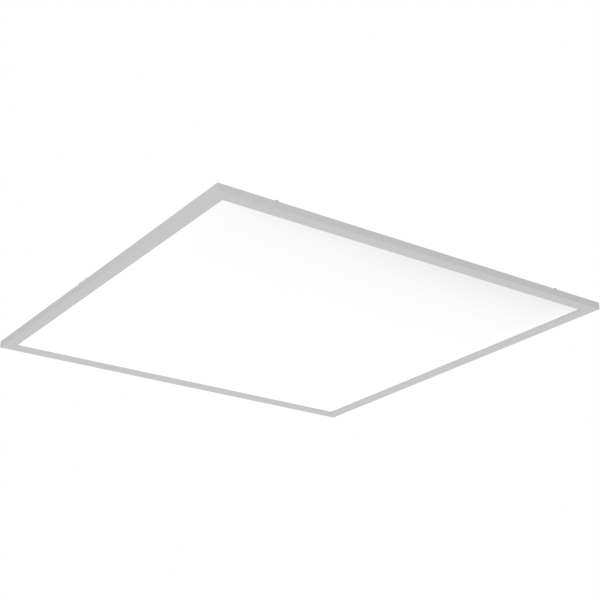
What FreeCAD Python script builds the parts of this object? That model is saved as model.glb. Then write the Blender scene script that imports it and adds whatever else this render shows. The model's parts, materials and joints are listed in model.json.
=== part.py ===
import FreeCAD, Part
import math
import os

# Edge-lit LED ceiling panel that lies in a 2 ft grid. Millimetres. +Z points up into the ceiling void.
# Origin: centre of the underside, the plane that rests on the ceiling grid (z = 0).
# front = -Y rail, rear = +Y rail, left = -X rail, right = +X rail.

# ---- driving dimensions: frame extrusion --------------------------------------------------------
panel_side = 603.0          # outer width of the square frame
face_width = 17.2           # border seen from below
outer_wall = 1.2            # outer wall of the extrusion
web = 1.2                   # thickness of the visible face
inner_wall = 1.2            # wall that carries the LED board
diffuser_recess = 3.0       # from the underside up to the seat of the diffuser
lip = 0.8                   # thickness of the lips over the corner key channel
outer_lip_reach = 3.4
inner_lip_reach = 2.6
inner_edge = 1.2            # upright wall round the aperture
slot_centre = 4.2           # screw slot, measured inward from the outer face
slot_width = 2.4
slot_lip = 0.8              # thickness of the slot's outer side
slot_depth = 3.5
top_flange = 1.0
cover_recess = 0.5          # the outer wall stands this much above the back cover
edge_radius = 0.6           # rounded lower edge of the face

# ---- driving dimensions: optical stack -----------------------------------------------------------
diffuser_thickness = 1.2
guide_thickness = 3.0
reflector_thickness = 0.3
foam_thickness = 1.0
cover_thickness = 0.5
sheet_gap = 0.5             # room for the sheets to grow at the two rails without LEDs
tape_thickness = 0.2
board_thickness = 1.0
led_height = 0.7            # how far an LED package stands off its board
led_length = 4.0
led_width = 1.4
led_pitch = 12.0
led_gap = 0.3               # from the LED packages to the edge of the light guide

# ---- driving dimensions: corner keys and frame screws -----------------------------------------------
key_leg = 46.0
key_clearance = 0.05
key_side_clearance = 0.2
key_screw_radius = 1.5
key_screw_inset = 34.0
cover_clearance = 0.2
screw_shank = 1.15
cover_screw_depth = 5.0
cover_screw_pitch = 135.0
cover_screw_corner = 31.5
low_head_radius = 2.6
low_head_height = 1.2
swage_width = 14.0
swage_height = 1.5
suspension_hole_radius = 1.7
suspension_hole_spacing = 450.0

# ---- driving dimensions: grid clips and tie wire brackets ------------------------------------------
clip_from_corner = 80.0
clip_sheet = 1.0
clip_bracket_width = 16.0
clip_hinge_inset = 11.0     # hinge pin, measured inward from the outer face
clip_arm = 35.0
clip_hook = 20.0
clip_tip = 5.0
clip_ear = 2.5
clip_tongue = 9.0
clip_gap = 0.4
clip_side_gap = 0.5
clip_screw_head = 2.8
clip_screw_rim = 1.2
clip_screw_height = 2.2
pin_radius = 1.0
running_clearance = 0.04
fixed_clearance = 0.02
tie_bracket_offset = 42.0   # along the rail from its middle
tie_bracket_width = 18.0
tie_ear_radius = 4.5
tie_ear_inset = 8.0
tie_hole_rise = 0.05        # from the bends of the bracket up to the wire hole
bracket_bend = 0.3          # inside radius of the bends of the small brackets
tie_wire_hole = 2.25

# ---- driving dimensions: driver housing -------------------------------------------------------------
housing_length = 250.0
housing_width = 92.0
housing_height = 36.0
housing_sheet = 0.8
bend_inside = 0.8
corner_relief = 1.6
end_flange = 8.0
screw_tab_width = 30.0
screw_tab_reach = 12.0
lid_gap = 0.3
lid_side_gap = 0.4
lid_lip = 8.0
hinge_station = 80.0
knuckle_length = 12.0
knuckle_gap = 0.35
conduit_radius = 11.1
conduit_offset = 20.0
knockout_groove = 0.5
lead_x = -60.0             # both LED leads lie in this plane
grommet_y = 34.0
grommet_neck = 4.4
grommet_bore = 3.4
rivet_shank = 1.5
rivet_head = 3.0

# ---- driving dimensions: driver and wiring -----------------------------------------------------------
driver_length = 140.0
driver_width = 46.0
driver_height = 25.0
driver_centre_x = -5.0
driver_sheet = 0.8
board_standoff = 3.0
circuit_board_thickness = 1.6
led_lead_width = 2.2       # flat two-core lead
led_lead_thickness = 0.9
led_lead_bend = 2.4
led_lead_entry = 13.0      # where the LED leads enter the driver, above the housing floor
mains_wire_radius = 1.1
mains_wire_bend = 2.6
mains_wire_pitch = 2.8
mains_entry = 10.0         # where the mains leads enter the driver, above the housing floor
terminal_pitch = 6.0
terminal_centre_x = 97.0
terminal_size = (14.0, 22.0, 16.0)
screw_hole_clearance = 0.2
small_screw_shank = 1.4
lid_screw_shank = 1.5
terminal_ear = 2.0
ring_thickness = 0.8

# ---- sizes that follow from the ones above --------------------------------------------------------
half = panel_side / 2
diffuser_top = diffuser_recess + diffuser_thickness
guide_top = diffuser_top + guide_thickness
reflector_top = guide_top + reflector_thickness
ledge = reflector_top + foam_thickness
cover_top = ledge + cover_thickness
frame_height = cover_top + cover_recess
slot_inner = slot_centre + slot_width / 2
slot_outer = slot_centre - slot_width / 2
led_wall = slot_inner + inner_wall
board_face = led_wall + tape_thickness + board_thickness
guide_edge = board_face + led_height + led_gap
plain_edge = led_wall + sheet_gap
key_inner = face_width - inner_edge
cover_edge = outer_wall + cover_clearance
floor_top = cover_top + housing_sheet
housing_top = cover_top + housing_height
wall_top = housing_top - housing_sheet
lid_under = housing_top + lid_gap
lid_top = lid_under + housing_sheet
hinge_y = housing_width / 2 + pin_radius + running_clearance
hinge_z = lid_under - pin_radius - running_clearance
lead_bottom = reflector_top + (foam_thickness - led_lead_thickness) / 2
clip_x = half - clip_from_corner
clip_knuckle = pin_radius + running_clearance + clip_sheet
clip_pin_z = cover_top + clip_sheet + clip_gap + clip_knuckle
circuit_board_z = floor_top + driver_sheet + board_standoff
circuit_board_top = circuit_board_z + circuit_board_thickness


def at(x, y, z):
    return FreeCAD.Vector(x, y, z)


up = at(0, 0, 1)


def block(low, high):
    """Box between two opposite corners."""
    size = [b - a for a, b in zip(low, high)]
    return Part.makeBox(*size, at(*low))


def rod(radius, start, end):
    """Cylinder between two points."""
    along = end - start
    return Part.makeCylinder(radius, along.Length, start, along)


def unit(vector):
    return vector / vector.Length


def rounded_path(corners, steps=3):
    """Points through (point, radius) corners, each rounded by a few chords of its tangent arc."""
    path = []
    count = len(corners)
    for i, (corner, radius) in enumerate(corners):
        inward = unit(corner - corners[i - 1][0]) if radius else at(1, 0, 0)
        outward = unit(corners[(i + 1) % count][0] - corner) if radius else at(1, 0, 0)
        turn = inward.getAngle(outward)
        if turn < 1e-6:
            path.append(corner)
            continue
        middle = corner + unit(outward - inward) * (radius / math.cos(turn / 2))
        spoke = corner - inward * (radius * math.tan(turn / 2)) - middle
        axis = inward.cross(outward)
        for k in range(steps + 1):
            path.append(middle + FreeCAD.Rotation(axis, math.degrees(turn) * k / steps).multVec(spoke))
    return path


def prism(corners, place, sweep):
    """Solid swept from a closed outline of (a, b, radius) corners that place(a, b) puts in space."""
    path = rounded_path([(place(a, b), radius) for a, b, radius in corners])
    distinct = [point for i, point in enumerate(path) if (point - path[i - 1]).Length > 1e-6]
    return Part.Face(Part.makePolygon(distinct + distinct[:1])).extrude(sweep)


def bar_along_x(radius, start, end, sides, across_flats=False):
    """Flat-sided bar along X; its corners, or else its flats, lie on the radius."""
    reach = radius / math.cos(math.pi / sides) if across_flats else radius
    angles = [2 * math.pi * (k + 0.5) / sides for k in range(sides)]
    corners = [(reach * math.cos(angle), reach * math.sin(angle), 0) for angle in angles]
    return prism(corners, lambda a, b: start + at(0, a, b), at(end.x - start.x, 0, 0))


def folded_strip(points, thickness, inside_radius, place, sweep):
    """Bent sheet metal: the path's left side is offset by the sheet thickness, with true bend radii."""
    heading = [math.atan2(q[1] - p[1], q[0] - p[0]) for p, q in zip(points, points[1:])]
    near, far = [], []
    for i, (a, b) in enumerate(points):
        before = heading[max(i - 1, 0)]
        after = heading[min(i, len(heading) - 1)]
        half_turn = math.remainder(after - before, 2 * math.pi) / 2
        normal = (before + half_turn) + math.pi / 2
        spread = thickness / math.cos(half_turn)
        if abs(half_turn) < 1e-6:
            radii = (0.0, 0.0)
        elif half_turn > 0:
            radii = (inside_radius + thickness, inside_radius)
        else:
            radii = (inside_radius, inside_radius + thickness)
        near.append((a, b, radii[0]))
        far.append((a + spread * math.cos(normal), b + spread * math.sin(normal), radii[1]))
    return prism(near + far[::-1], place, sweep)


def in_xz(y):
    return lambda a, b: at(a, y, b)


def in_yz(x):
    return lambda a, b: at(x, a, b)


def wire_along(points, bend_radius, wire_radius, sides=8):
    """Insulated wire as a flat-sided bar swept along straight runs and bends."""
    bends = [(point, bend_radius) for point in points[1:-1]]
    path = rounded_path([(points[0], 0)] + bends + [(points[-1], 0)])
    along = [unit(after - before) for before, after in zip(path, path[1:])]
    across = along[0].cross(up if abs(along[0].z) < 0.9 else at(1, 0, 0))
    spokes = [FreeCAD.Rotation(along[0], 360 * (k + 0.5) / sides).multVec(unit(across)) for k in range(sides)]
    rings = [[path[0] + spoke * wire_radius for spoke in spokes]]
    for i, heading in enumerate(along):
        mitre = unit(heading + along[min(i + 1, len(along) - 1)])
        end = path[i + 1]
        rings.append([p + heading * ((end - p).dot(mitre) / heading.dot(mitre)) for p in rings[-1]])
    faces = [Part.Face(Part.makePolygon(ring + ring[:1])) for ring in (rings[0], rings[-1])]
    for ring, following in zip(rings, rings[1:]):
        for k in range(sides):
            corners = [ring[k - 1], ring[k], following[k], following[k - 1]]
            faces.append(Part.Face(Part.makePolygon(corners + corners[:1])))
    return Part.Solid(Part.makeShell(faces))


def turned(profile, centre, sides=10):
    """Small turned part with flat sides, from (radius, z) points round a vertical axis."""
    x, y = centre
    rings = []
    for r, z in profile:
        angles = [2 * math.pi * (k + 0.5) / sides for k in range(sides)]
        rings.append([at(x + r * math.cos(angle), y + r * math.sin(angle), z) for angle in angles])
    faces = []
    for i, ring in enumerate(rings):
        following = rings[(i + 1) % len(rings)]
        for k in range(sides):
            corners = [ring[k - 1], ring[k], following[k], following[k - 1]]
            distinct = [c for j, c in enumerate(corners) if (c - corners[j - 1]).Length > 1e-6]
            if len(distinct) > 2:
                faces.append(Part.Face(Part.makePolygon(distinct + distinct[:1])))
    return Part.Solid(Part.makeShell(faces)).removeSplitter()


def screw(centre, seat, head_radius, rim, head_height, shank_radius, depth):
    """Pan head screw standing on z = seat, with its shank going down."""
    profile = [(0, seat - depth), (shank_radius, seat - depth), (shank_radius, seat), (head_radius, seat)]
    if rim:
        profile.append((head_radius, seat + rim))
    return turned(profile + [(head_radius * 0.55, seat + head_height), (0, seat + head_height)], centre)


def screw_hole(radius, centre, low, high):
    """Tool for a hole that a flat-sided shank of this radius passes through with clearance."""
    r = radius + screw_hole_clearance
    return turned([(0, low), (r, low), (r, high), (0, high)], centre)


def quarter_turns(shape, count):
    """The shape turned about the panel's centre line by a number of right angles."""
    copy = shape.copy()
    copy.rotate(at(0, 0, 0), up, 90 * count)
    return copy


def pressed_bead(length, width, height, centre, along_y=False):
    """(raised skin, hollow) of a swage pressed upward in a sheet that lies on the ledge."""

    def outline(grow, z):
        r = width / 2 + grow
        reach = length / 2 - width / 2
        angles = [math.pi * (k / 4 - 0.5) for k in range(5)]
        tip = [(reach + r * math.cos(angle), r * math.sin(angle)) for angle in angles]
        points = tip + [(-x, -y) for x, y in tip]
        if along_y:
            points = [(-y, x) for x, y in points]
        corners = [at(centre[0] + x, centre[1] + y, z) for x, y in points]
        return Part.makePolygon(corners + corners[:1])

    def mound(grow, top):
        return Part.makeLoft([outline(grow, ledge), outline(grow - top + ledge, top)], True, True)

    return mound(cover_thickness, cover_top + height), mound(0.0, ledge + height)


# ---- frame ---------------------------------------------------------------------------------------------
def rail_section():
    """Closed outline of the extrusion as (inward from the outer face, height, radius)."""
    lip_under = diffuser_recess - lip
    return [
        (0, 0, edge_radius),
        (face_width, 0, edge_radius / 2),
        (face_width, diffuser_recess, 0),
        (key_inner - inner_lip_reach, diffuser_recess, 0),
        (key_inner - inner_lip_reach, lip_under, 0),
        (key_inner, lip_under, 0),
        (key_inner, web, 0),
        (led_wall, web, 0),
        (led_wall, lip_under, 0),
        (led_wall + outer_lip_reach, lip_under, 0),
        (led_wall + outer_lip_reach, diffuser_recess, 0),
        (led_wall, diffuser_recess, 0),
        (led_wall, ledge, 0),
        (slot_inner, ledge, 0),
        (slot_inner, web, 0),
        (outer_wall, web, 0),
        (outer_wall, ledge - top_flange, 0),
        (slot_outer - slot_lip, ledge - top_flange, 0),
        (slot_outer - slot_lip, ledge - slot_depth, 0),
        (slot_outer, ledge - slot_depth, 0),
        (slot_outer, ledge, 0),
        (outer_wall, ledge, 0),
        (outer_wall, frame_height, 0),
        (0, frame_height, 0),
    ]


def frame_rail():
    """Front rail: the extrusion cut at 45 degrees at both ends."""
    bar = prism(rail_section(), lambda u, z: at(-half, -half + u, z), at(panel_side, 0, 0))
    mitre = [(-half, -half, 0), (half, -half, 0), (0, 0, 0)]
    return bar.common(prism(mitre, lambda x, y: at(x, y, 0), up * frame_height))


def key_screw_places():
    """One screw in each leg of a key, in the opening between the lips, from the front left corner."""
    middle = (led_wall + outer_lip_reach + key_inner - inner_lip_reach) / 2
    return [(-half + key_screw_inset, -half + middle), (-half + middle, -half + key_screw_inset)]


def corner_key():
    """L-shaped key in the channel under the lips, at the front left corner."""
    near = led_wall + key_side_clearance
    far = key_inner - key_side_clearance
    end = near + key_leg
    corners = [(near, near, 0), (end, near, 0), (end, far, 0), (far, far, 0), (far, end, 0), (near, end, 0)]
    bottom = web + key_clearance
    height = diffuser_recess - lip - key_clearance - bottom
    key = prism(corners, lambda a, b: at(-half + a, -half + b, bottom), up * height)
    for place in key_screw_places():
        key = key.cut(screw_hole(key_screw_radius - 0.1, place, 0, frame_height))
    return key


def corner_key_screws():
    """Grub screws that jack the keys against the lips: two in each corner."""
    screws = []
    top = diffuser_recess - lip / 2
    for place in key_screw_places():
        grub = turned([(0, web), (key_screw_radius, web), (key_screw_radius, top), (0, top)], place)
        screws += [quarter_turns(grub, turn) for turn in range(4)]
    return Part.Compound(screws)


# ---- optical stack ---------------------------------------------------------------------------------------
def sheet(bottom, thickness):
    """Sheet that fills the frame between the LED boards and the two plain rails."""
    x = half - plain_edge
    y = half - guide_edge
    return block((-x, -y, bottom), (x, y, bottom + thickness))


def foam_pad():
    """Foam layer, slit from both LED rails to the grommets as channels for the LED leads."""
    channel = led_lead_width / 2 + 0.4
    pad = sheet(reflector_top, foam_thickness)
    for x, y in grommet_points():
        low, high = sorted((math.copysign(half, y), y))
        pad = pad.cut(block((x - channel, low, 0), (x + channel, high, frame_height)))
        pad = pad.cut(screw_hole(grommet_neck + 0.5, (x, y), 0, frame_height))
    return pad


def led_strip_length():
    return panel_side - 2 * (plain_edge + 6.0)


def led_board():
    """Aluminium strip board on the front rail's inner wall."""
    long = led_strip_length() / 2
    inner = -half + board_face
    low = diffuser_recess + 0.2
    return block((-long, inner - board_thickness, low), (long, inner, ledge - 0.3))


def led_tape():
    """Thermal tape between the strip board and the rail."""
    long = led_strip_length() / 2
    outer = -half + led_wall
    low = diffuser_recess + 0.2
    return block((-long, outer, low), (long, outer + tape_thickness, ledge - 0.3))


def led_packages():
    """LED packages along the strip, level with the middle of the light guide."""
    count = int((led_strip_length() - led_length) / led_pitch)
    count -= count % 2
    inner = -half + board_face
    middle = diffuser_top + guide_thickness / 2
    leds = []
    for i in range(count):
        x = (i - (count - 1) / 2) * led_pitch
        low = (x - led_length / 2, inner, middle - led_width / 2)
        leds.append(block(low, (x + led_length / 2, inner + led_height, middle + led_width / 2)))
    return Part.Compound(leds)


# ---- back cover ----------------------------------------------------------------------------------
def cover_screw_places():
    """Screw places along the front rail's slot, the corner ones included."""
    span = panel_side - 2 * cover_screw_corner
    gaps = max(2, round(span / cover_screw_pitch))
    return [-span / 2 + i * span / gaps for i in range(gaps + 1)]


def slot_points():
    """Every cover screw as (x, y)."""
    points = []
    for x in cover_screw_places():
        line = -half + slot_centre
        points += [(x, line), (-line, x), (-x, -line), (line, -x)]
    return points


def suspension_points():
    side = half - slot_centre
    reach = suspension_hole_spacing / 2
    return [(sx * side, sy * reach) for sx in (-1, 1) for sy in (-1, 1)]


def clip_points():
    """Grid clip screws: two on the front slot and two on the rear slot."""
    line = half - slot_centre
    return [(-clip_x, -line), (clip_x, -line), (clip_x, line), (-clip_x, line)]


def tie_points():
    line = half - slot_centre
    return [(-line, tie_bracket_offset), (line, -tie_bracket_offset)]


def rivet_points():
    reach_x = housing_length / 2 - 16
    reach_y = housing_width / 2 - 12
    return [(sx * reach_x, sy * reach_y) for sx in (-1, 1) for sy in (-1, 1)]


def bead_places():
    """(length, centre, along_y) of each stiffening swage."""
    side_y = (half + housing_width / 2) / 2
    side_x = (half + housing_length / 2) / 2
    long = panel_side - 170
    short = housing_width + 20
    places = [(long, (0, sign * (side_y + step)), False) for sign in (-1, 1) for step in (-45, 45)]
    return places + [(short, (sign * side_x, 0), True) for sign in (-1, 1)]


def back_cover():
    """Steel back sheet with pressed swages, open notches for the slot screws, and the lead holes."""
    width = panel_side - 2 * cover_edge
    reach = width / 2
    cover = block((-reach, -reach, ledge), (reach, reach, cover_top))
    for length, centre, along_y in bead_places():
        skin, hollow = pressed_bead(length, swage_width, swage_height, centre, along_y)
        cover = cover.fuse(skin).cut(hollow)
    tools = []
    opening = screw_shank + screw_hole_clearance
    for x, y in slot_points() + clip_points() + tie_points():
        ends = [(x - opening, x + opening), (y - opening, y + opening)]
        across = 0 if abs(x) > abs(y) else 1
        low, high = ends[across]
        ends[across] = (low, half) if high > 0 else (-half, high)
        tools.append(block((ends[0][0], ends[1][0], 0), (ends[0][1], ends[1][1], frame_height)))
    for x, y in suspension_points():
        tools.append(rod(suspension_hole_radius, at(x, y, 0), at(x, y, frame_height)))
    tools += [screw_hole(rivet_shank, p, 0, frame_height) for p in rivet_points()]
    tools += [screw_hole(grommet_neck, p, 0, frame_height) for p in grommet_points()]
    return cover.cut(Part.Compound(tools)).removeSplitter()


def slot_screws(points, stack, head_radius, rim, head_height):
    """Screws into the slots of the rails, with their heads on a bracket of the given thickness."""
    seat = cover_top + stack
    depth = cover_screw_depth + stack
    return Part.Compound([screw(p, seat, head_radius, rim, head_height, screw_shank, depth) for p in points])


def cover_screws():
    return slot_screws(slot_points(), 0, low_head_radius, 0, low_head_height)


# ---- grid clips ----------------------------------------------------------------------------------
def ear_outline(width, bottom, top):
    """Outline of an upright ear with a rounded end, as (across, height, radius) corners."""
    r = width / 2
    angles = [math.pi * k / 6 for k in range(7)]
    tip = [(r + r * math.cos(angle), top - r + r * math.sin(angle), 0) for angle in angles]
    return [(0, bottom, 0), (width, bottom, 0)] + tip


def clip_bracket():
    """Fixed bracket of the front left grid clip: a tongue under the slot screw and two ears for the pin."""
    w = clip_bracket_width / 2
    top = clip_pin_z + clip_ear
    start = -half + clip_hinge_inset - clip_ear
    cradle = folded_strip(
        [(-w, top), (-w, cover_top), (w, cover_top), (w, top)],
        clip_sheet, bracket_bend, lambda a, b: at(-clip_x + a, start, b), at(0, 2 * clip_ear, 0),
    )
    outline = ear_outline(2 * clip_ear, cover_top, top)
    cradle = cradle.common(prism(outline, lambda a, b: at(-clip_x - w, start + a, b), at(2 * w, 0, 0)))
    outer = -half + slot_centre - slot_width
    low = (-clip_x - clip_tongue / 2, outer, cover_top)
    tongue = block(low, (-clip_x + clip_tongue / 2, -half + clip_hinge_inset, cover_top + clip_sheet))
    bracket = cradle.fuse(tongue).removeSplitter()
    pin_line = at(-clip_x, -half + clip_hinge_inset, clip_pin_z)
    side = at(w + 1, 0, 0)
    bracket = bracket.cut(pin_hole(pin_line - side, pin_line + side, fixed_clearance))
    return bracket.cut(screw_hole(screw_shank, (-clip_x, -half + slot_centre), 0, clip_pin_z))


def grid_clip():
    """Folding clip of the front left corner, stowed flat: knuckle, arm, and the hook for a grid tee."""
    width = clip_bracket_width - 2 * (clip_sheet + clip_side_gap)
    arm_bottom = clip_pin_z - clip_knuckle
    end = clip_hinge_inset + clip_arm
    tip = arm_bottom + clip_hook
    path = [(clip_hinge_inset, arm_bottom), (end, arm_bottom), (end, tip), (end - clip_tip, tip)]
    strip = folded_strip(path, clip_sheet, 1.5, in_yz(-clip_x - width / 2), at(width, 0, 0))
    strip.translate(at(0, -half, 0))
    narrow = width / 2 - 2.5
    right = [(width / 2, -1), (width / 2, clip_arm / 2), (narrow, clip_arm), (narrow, 2 * clip_arm)]
    plan = [(a, b, 0) for a, b in right] + [(-a, b, 0) for a, b in right[::-1]]
    hinge_line = -half + clip_hinge_inset
    outline = prism(plan, lambda a, b: at(-clip_x + a, hinge_line + b, 0), up * (2 * tip))
    strip = strip.common(outline)
    start = at(-clip_x - width / 2, hinge_line, clip_pin_z)
    end = start + at(width, 0, 0)
    barrel = bar_along_x(clip_knuckle, start, end, 16)
    past = at(1, 0, 0)
    return strip.fuse(barrel).cut(pin_hole(start - past, end + past, running_clearance)).removeSplitter()


def pin_along_x(middle, length):
    reach = at(length / 2, 0, 0)
    return bar_along_x(pin_radius, middle - reach, middle + reach, 16)


def pin_hole(start, end, clearance):
    return bar_along_x(pin_radius + clearance, start, end, 12, across_flats=True)


def clip_pins():
    pins = []
    for side in (-1, 1):
        middle = at(side * clip_x, -half + clip_hinge_inset, clip_pin_z)
        pin = pin_along_x(middle, clip_bracket_width + 0.8)
        pins += [pin, quarter_turns(pin, 2)]
    return Part.Compound(pins)


def clip_screws():
    return slot_screws(clip_points(), clip_sheet, clip_screw_head, clip_screw_rim, clip_screw_height)


def at_clip_corner(shape, corner):
    """Front left clip part moved to front_left, front_right, rear_right or rear_left."""
    copy = shape.copy()
    if corner in ("front_right", "rear_left"):
        copy.translate(at(2 * clip_x, 0, 0))
    if corner.startswith("rear"):
        copy = quarter_turns(copy, 2)
    return copy


# ---- tie wire brackets ---------------------------------------------------------------------------
def tie_wire_bracket():
    """Left bracket: two upturned ears with a wire hole, and a base held by one slot screw."""
    w = tie_bracket_width / 2
    hole_z = cover_top + clip_sheet + bracket_bend + tie_hole_rise + tie_wire_hole
    top = hole_z + tie_ear_radius
    start = -half + tie_ear_inset - tie_ear_radius
    middle = tie_bracket_offset
    wide = 2 * tie_ear_radius
    ears = folded_strip(
        [(middle - w, top), (middle - w, cover_top), (middle + w, cover_top), (middle + w, top)],
        clip_sheet, bracket_bend, in_yz(start), at(wide, 0, 0),
    )
    outline = ear_outline(wide, cover_top, top)
    ears = ears.common(prism(outline, lambda a, b: at(start + a, middle - w, b), at(0, 2 * w, 0)))
    outer = -half + cover_edge + 0.2
    low = (outer, middle - clip_tongue / 2, cover_top)
    tongue = block(low, (start + tie_ear_radius, middle + clip_tongue / 2, cover_top + clip_sheet))
    bracket = ears.fuse(tongue).removeSplitter()
    wire_line = at(-half + tie_ear_inset, middle, hole_z)
    side = at(0, w + 1, 0)
    bracket = bracket.cut(rod(tie_wire_hole, wire_line - side, wire_line + side))
    return bracket.cut(screw_hole(screw_shank, (-half + slot_centre, middle), 0, hole_z))


def tie_bracket_screws():
    return slot_screws(tie_points(), clip_sheet, low_head_radius, 0, low_head_height)


# ---- driver housing ------------------------------------------------------------------------------
def driver_housing():
    """Folded pan with end flanges, a screw tab, hinge knuckles, a conduit hole and knockouts."""
    a, b = housing_length / 2, housing_width / 2
    t = housing_sheet
    ends = folded_strip(
        [(-a + end_flange, housing_top), (-a, housing_top), (-a, cover_top), (a, cover_top), (a, housing_top),
         (a - end_flange, housing_top)],
        t, bend_inside, in_xz(-b + corner_relief), at(0, 2 * (b - corner_relief), 0),
    )
    sides = folded_strip(
        [(-b, wall_top), (-b, cover_top), (b, cover_top), (b, wall_top)],
        t, bend_inside, in_yz(-a + corner_relief), at(2 * (a - corner_relief), 0, 0),
    )
    tab_side = screw_tab_width / 2
    tab = folded_strip(
        [(-b + screw_tab_reach, housing_top), (-b, housing_top), (-b, housing_top - 6)],
        t, bend_inside, in_yz(-tab_side), at(screw_tab_width, 0, 0),
    )
    tab_gap = block((-tab_side - 1, -b - 1, housing_top - 6), (tab_side + 1, -b + 1, housing_top + 1))
    pan = ends.fuse(sides).cut(tab_gap).fuse(tab)
    for station in (-hinge_station, hinge_station):
        pan = hinge_cut(pan, station).fuse(housing_knuckle(station))
    pan = pan.removeSplitter()
    small = rivet_points() + driver_screw_points() + [ground_point(), terminal_screw_point()]
    drills = [screw_hole(rivet_shank, p, 0, floor_top + 1) for p in small]
    drills += [screw_hole(grommet_neck, p, 0, floor_top + 1) for p in grommet_points()]
    drills.append(screw_hole(lid_screw_shank, lid_screw_point(), floor_top + 5, lid_top))
    reach = at(6 * t, 0, 0)
    entry = at(a, -conduit_offset, conduit_z())
    drills.append(rod(conduit_radius, entry - reach, entry + reach))
    drills += [knockout_ring(a, conduit_offset), knockout_ring(-a, -conduit_offset)]
    return pan.cut(Part.Compound(drills))


def conduit_z():
    return cover_top + housing_height / 2


def knockout_ring(x, y, sides=16):
    """Ring groove of a closed knockout, broken by two uncut ties, on the outside of an end wall."""
    side = math.copysign(1, x)
    deep = x - side * knockout_groove

    def disc(radius):
        angles = [2 * math.pi * k / sides for k in range(sides)]
        corners = [at(deep, y + radius * math.cos(g), conduit_z() + radius * math.sin(g)) for g in angles]
        return Part.Face(Part.makePolygon(corners + corners[:1])).extrude(at(side, 0, 0))

    tie = block((x - 2, y - 1.5, cover_top), (x + 2, y + 1.5, housing_top))
    return disc(conduit_radius).cut(disc(conduit_radius - 0.6)).cut(tie)


def lid_knuckle_radius():
    return pin_radius + running_clearance + housing_sheet


def hinge_cut(pan, station):
    """Notches in the rear wall that clear the lid's knuckles and the ends of the pin."""
    outer = 1.5 * knuckle_length + 2 * knuckle_gap + 1
    bottom = hinge_z - lid_knuckle_radius() - 0.4
    b = housing_width / 2
    keep = knuckle_length / 2
    notch = block((station - outer, b - 3, bottom), (station + outer, b + 3, housing_top + 1))
    return pan.cut(notch.cut(block((station - keep, 0, 0), (station + keep, 2 * b, 2 * housing_top))))


def knuckle(low, high, clearance):
    """(barrel, hole) of a hinge knuckle between two x positions."""
    start = at(low, hinge_y, hinge_z)
    end = at(high, hinge_y, hinge_z)
    past = at(1, 0, 0)
    return bar_along_x(lid_knuckle_radius(), start, end, 16), pin_hole(start - past, end + past, clearance)


def housing_knuckle(station):
    low, high = station - knuckle_length / 2, station + knuckle_length / 2
    barrel, hole = knuckle(low, high, fixed_clearance)
    b = housing_width / 2
    leaf = block((low, b - housing_sheet, hinge_z - 4), (high, b, hinge_z))
    return barrel.fuse(leaf).cut(hole)


def lid_knuckle(start, end):
    low, high = sorted((start, end))
    barrel, hole = knuckle(low, high, running_clearance)
    leaf = block((low, housing_width / 2 - 1, lid_under), (high, hinge_y, lid_top))
    return barrel.fuse(leaf).cut(hole)


def lid_screw_point():
    return (0, -housing_width / 2 + screw_tab_reach / 2)


def driver_lid():
    """Hinged lid: a folded plate with lips on three sides and two pairs of knuckles."""
    a = housing_length / 2 + lid_side_gap + housing_sheet
    b = housing_width / 2 + lid_side_gap + housing_sheet
    rear = housing_width / 2
    bottom = lid_top - lid_lip
    ends = folded_strip(
        [(a, bottom), (a, lid_top), (-a, lid_top), (-a, bottom)],
        housing_sheet, bend_inside, in_xz(-b + corner_relief), at(0, rear - lid_lip + b - corner_relief, 0),
    )
    front = folded_strip(
        [(rear, lid_top), (-b, lid_top), (-b, bottom)],
        housing_sheet, bend_inside, in_yz(-a + corner_relief), at(2 * (a - corner_relief), 0, 0),
    )
    lid = ends.fuse(front)
    near = knuckle_length / 2 + knuckle_gap
    for station in (-hinge_station, hinge_station):
        lid = lid.cut(block((station - near, rear - 2, bottom), (station + near, rear + 6, lid_top + 1)))
        for side in (-1, 1):
            lid = lid.fuse(lid_knuckle(station + side * near, station + side * (near + knuckle_length)))
    lid = lid.removeSplitter()
    for sign in (-1, 1):
        lid = lid.cut(lid_groove(sign * housing_width / 5))
    return lid.cut(screw_hole(screw_shank, lid_screw_point(), lid_under - 1, lid_top + 1))


def lid_groove(y):
    """Shallow pressed line along the lid."""
    long = housing_length / 2 - 25
    wide = 2.0
    corners = [(-long, 0, 0), (-long + wide, -wide, 0), (long - wide, -wide, 0)]
    corners += [(-a, -b, 0) for a, b, r in corners]
    return prism(corners, lambda a, b: at(a, y + b, lid_top - housing_sheet / 2), up * housing_sheet)


def hinge_pin(station):
    length = 3 * knuckle_length + 2 * knuckle_gap + 0.8
    return pin_along_x(at(station, hinge_y, hinge_z), length)


def lid_screw():
    depth = lid_top - housing_top + 2
    return screw(lid_screw_point(), lid_top, 3.4, 1.2, 2.2, screw_shank, depth)


def housing_rivets():
    """Blind rivets that hold the housing on the back cover."""
    rivets = []
    for point in rivet_points():
        rivets.append(screw(point, floor_top, rivet_head, 0, 1.0, rivet_shank, floor_top - ledge))
    return Part.Compound(rivets)


def grommet_points():
    return [(lead_x, -grommet_y), (lead_x, grommet_y)]


def lead_grommets():
    """Rubber bushings for the LED leads, through the housing floor and the back cover."""
    flange = grommet_neck + 2
    profile = [
        (grommet_bore, ledge), (grommet_neck, ledge), (grommet_neck, floor_top), (flange, floor_top),
        (flange, floor_top + 0.8), (grommet_bore, floor_top + 1.5),
    ]
    return Part.Compound([turned(profile, point) for point in grommet_points()])


# ---- driver --------------------------------------------------------------------------------------
def driver_screw_points():
    reach = driver_length / 2 + 5
    return [(driver_centre_x - reach, 0), (driver_centre_x + reach, 0)]


def driver_block(shrink, bottom, top):
    """Box over the driver's footprint, smaller by the given amount on every side."""
    a = driver_length / 2 - shrink
    b = driver_width / 2 - shrink
    return block((driver_centre_x - a, -b, bottom), (driver_centre_x + a, b, top))


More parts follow.
